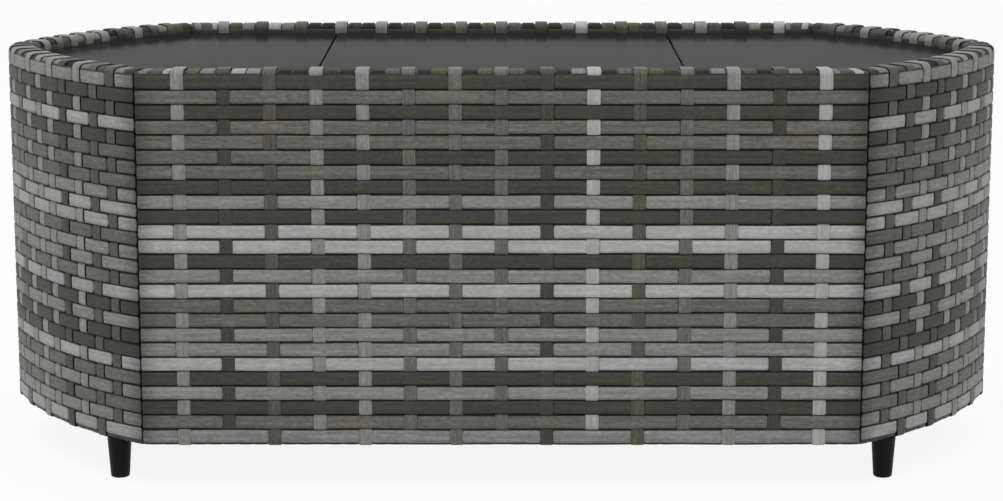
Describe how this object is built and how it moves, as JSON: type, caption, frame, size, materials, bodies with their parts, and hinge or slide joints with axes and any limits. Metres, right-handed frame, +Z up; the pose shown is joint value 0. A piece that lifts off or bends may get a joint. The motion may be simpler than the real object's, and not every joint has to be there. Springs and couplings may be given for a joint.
{
  "type": "woven coffee table",
  "caption": "Low woven coffee table with pointed oval ends, grey wicker walls, a recessed black glass top in panels and short black feet.",
  "frame": {"origin": "on the floor, under the middle of the table", "axes": "+X along the table's length, +Y to its back, +Z up"},
  "size_m": [1, 0.42, 0.405],
  "materials": {
    "wicker": "satin, grained",
    "black_glass": "polished, opaque black",
    "frame_paint": "powder coat",
    "foot_plastic": "satin",
    "zinc_steel": "zinc plated",
    "silicone": "clear, matt"
  },
  "bodies": {
    "frame": {"base_rail_back": "frame_paint", "base_rail_front": "frame_paint", "base_rail_left": "frame_paint", "base_rail_right": "frame_paint", "base_stretcher_left": "frame_paint", "base_stretcher_right": "frame_paint", "corner_post_back_left": "frame_paint", "corner_post_back_right": "frame_paint", "corner_post_front_left": "frame_paint", "corner_post_front_right": "frame_paint", "foot_bushes": "zinc_steel", "ledge_back": "frame_paint", "ledge_front": "frame_paint", "ledge_left": "frame_paint", "ledge_right": "frame_paint", "middle_post_back_left": "frame_paint", "middle_post_back_right": "frame_paint", "middle_post_front_left": "frame_paint", "middle_post_front_right": "frame_paint", "nose_post_left": "frame_paint", "nose_post_right": "frame_paint", "pads_left": "silicone", "pads_middle": "silicone", "pads_right": "silicone", "rim_back": "wicker", "rim_front": "wicker", "rim_left": "wicker", "rim_right": "wicker", "seam_strip_left": "frame_paint", "seam_strip_right": "frame_paint", "seam_tube_left": "frame_paint", "seam_tube_right": "frame_paint", "top_rail_back": "frame_paint", "top_rail_front": "frame_paint", "top_rail_left": "frame_paint", "top_rail_right": "frame_paint", "weave_back": "wicker", "weave_front": "wicker", "weave_left": "wicker", "weave_right": "wicker"},
    "panel_left": {"glass_left": "black_glass"},
    "panel_middle": {"glass_middle": "black_glass"},
    "panel_right": {"glass_right": "black_glass"},
    "leveller_front_left": {"foot_front_left": "foot_plastic", "stud_front_left": "zinc_steel"},
    "leveller_front_right": {"foot_front_right": "foot_plastic", "stud_front_right": "zinc_steel"},
    "leveller_back_left": {"foot_back_left": "foot_plastic", "stud_back_left": "zinc_steel"},
    "leveller_back_right": {"foot_back_right": "foot_plastic", "stud_back_right": "zinc_steel"}
  },
  "joints": [
    {"name": "lift_panel_left", "type": "slide", "parent": "frame", "child": "panel_left", "axis": [0, 0, 1], "range_m": [0, 0.06]},
    {"name": "lift_panel_middle", "type": "slide", "parent": "frame", "child": "panel_middle", "axis": [0, 0, 1], "range_m": [0, 0.06]},
    {"name": "lift_panel_right", "type": "slide", "parent": "frame", "child": "panel_right", "axis": [0, 0, 1], "range_m": [0, 0.06]},
    {"name": "screw_front_left", "type": "slide", "parent": "frame", "child": "leveller_front_left", "axis": [0, 0, -1], "range_m": [0, 0.006]},
    {"name": "screw_front_right", "type": "slide", "parent": "frame", "child": "leveller_front_right", "axis": [0, 0, -1], "range_m": [0, 0.006]},
    {"name": "screw_back_left", "type": "slide", "parent": "frame", "child": "leveller_back_left", "axis": [0, 0, -1], "range_m": [0, 0.006]},
    {"name": "screw_back_right", "type": "slide", "parent": "frame", "child": "leveller_back_right", "axis": [0, 0, -1], "range_m": [0, 0.006]}
  ]
}
